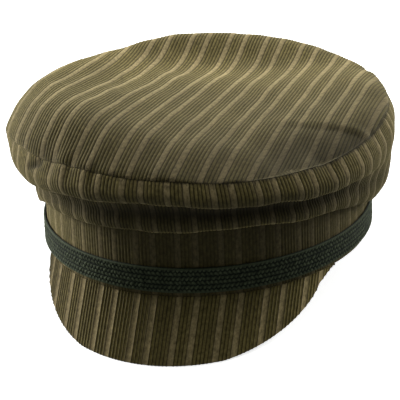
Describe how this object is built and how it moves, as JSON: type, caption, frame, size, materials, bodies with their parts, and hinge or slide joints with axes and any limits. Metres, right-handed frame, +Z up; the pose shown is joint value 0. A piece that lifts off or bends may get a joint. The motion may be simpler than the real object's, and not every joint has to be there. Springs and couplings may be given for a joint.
{
  "type": "captain cap",
  "caption": "Soft corduroy captain cap with a rolled crown, a woven braid round the band and a short peak, resting on its peak and band.",
  "frame": {"origin": "middle of the bottom of the cap's box, on the surface it rests on", "axes": "+Z up, the peak points towards -Y, +X to the right seen from the front"},
  "size_m": [0.2116, 0.253, 0.1053],
  "materials": {
    "corduroy": "matt ribbed cotton corduroy in olive brown with lighter stripes",
    "braid": "dark blue-green woven braid with a slight lustre"
  },
  "bodies": {
    "root": {"top_panel": "corduroy", "side_crown": "corduroy", "head_band": "corduroy", "braid": "braid", "peak": "corduroy"}
  },
  "joints": []
}
